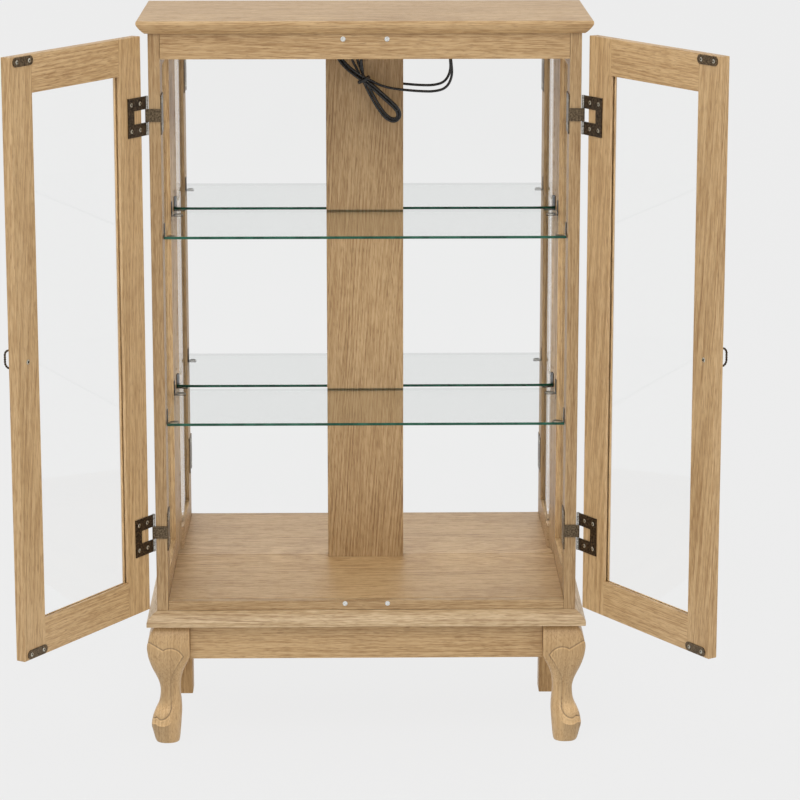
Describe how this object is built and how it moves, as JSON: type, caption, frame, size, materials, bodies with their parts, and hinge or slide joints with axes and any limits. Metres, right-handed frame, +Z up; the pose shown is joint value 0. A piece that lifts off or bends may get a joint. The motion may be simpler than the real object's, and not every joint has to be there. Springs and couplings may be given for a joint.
{
  "type": "display cabinet",
  "caption": "Free-standing oak display cabinet with two glazed doors, glass sides, glass shelves, mirrored back and carved cabriole front legs.",
  "frame": {"origin": "on the floor, under the middle of the whole object with its doors stored 122 degrees open", "axes": "+Z up, +Y from the open front to the back, +X to the right as seen from the front"},
  "size_m": [0.9552, 0.5096, 1.028],
  "materials": {
    "oak": "satin light oak veneer",
    "back_board": "matt thin board",
    "clear_glass": "polished clear",
    "mirror": "silvered",
    "bronze": "antiqued dark bronze",
    "screw_steel": "zinc plated",
    "magnet": "nickel plated",
    "support_black": "moulded",
    "support_pad": "clear soft pad",
    "lamp_shell": "satin",
    "lamp_diffuser": "frosted",
    "clip_plastic": "moulded",
    "cord_black": "satin black sheath"
  },
  "bodies": {
    "case": {"top_panel": "oak", "base_panel": "oak", "floor_panel": "oak", "top_rail": "oak", "bottom_rail": "oak", "left_front_stile": "oak", "right_front_stile": "oak", "left_rear_stile": "oak", "right_rear_stile": "oak", "left_side_top_rail": "oak", "right_side_top_rail": "oak", "left_side_bottom_rail": "oak", "right_side_bottom_rail": "oak", "left_side_glass": "clear_glass", "right_side_glass": "clear_glass", "left_mirror": "mirror", "right_mirror": "mirror", "centre_back_strip": "oak", "back_panel": "back_board", "lamp_housing": "lamp_shell", "lamp_lens": "lamp_diffuser", "cord_clips": "clip_plastic", "power_cord": "cord_black", "cord_hank": "cord_black", "cord_tie": "clip_plastic", "plug": "cord_black", "upper_shelf": "clear_glass", "lower_shelf": "clear_glass", "shelf_supports": "support_black", "shelf_support_pads": "support_pad", "door_magnets": "magnet", "front_apron": "oak", "left_apron": "oak", "right_apron": "oak", "back_apron": "oak", "left_front_leg": "oak", "right_front_leg": "oak", "left_rear_leg": "oak", "right_rear_leg": "oak", "hinge_frame_leaves": "bronze", "hinge_pins": "bronze", "hinge_frame_screws": "screw_steel"},
    "left_door": {"left_door_hinge_stile": "oak", "left_door_lock_stile": "oak", "left_door_top_rail": "oak", "left_door_bottom_rail": "oak", "left_door_glass": "clear_glass", "left_door_hinge_leaves": "bronze", "left_door_strike_plates": "bronze", "left_door_screws": "screw_steel", "left_door_pull": "bronze"},
    "right_door": {"right_door_hinge_stile": "oak", "right_door_lock_stile": "oak", "right_door_top_rail": "oak", "right_door_bottom_rail": "oak", "right_door_glass": "clear_glass", "right_door_hinge_leaves": "bronze", "right_door_strike_plates": "bronze", "right_door_screws": "screw_steel", "right_door_pull": "bronze"}
  },
  "joints": [
    {"name": "left_door_hinge", "type": "hinge", "parent": "case", "child": "left_door", "pos_m": [-0.2976, -0.0042, 0.604], "axis": [0, 0, -1], "range_deg": [-122, 58]},
    {"name": "right_door_hinge", "type": "hinge", "parent": "case", "child": "right_door", "pos_m": [0.2976, -0.0042, 0.604], "axis": [0, 0, 1], "range_deg": [-122, 58]}
  ]
}
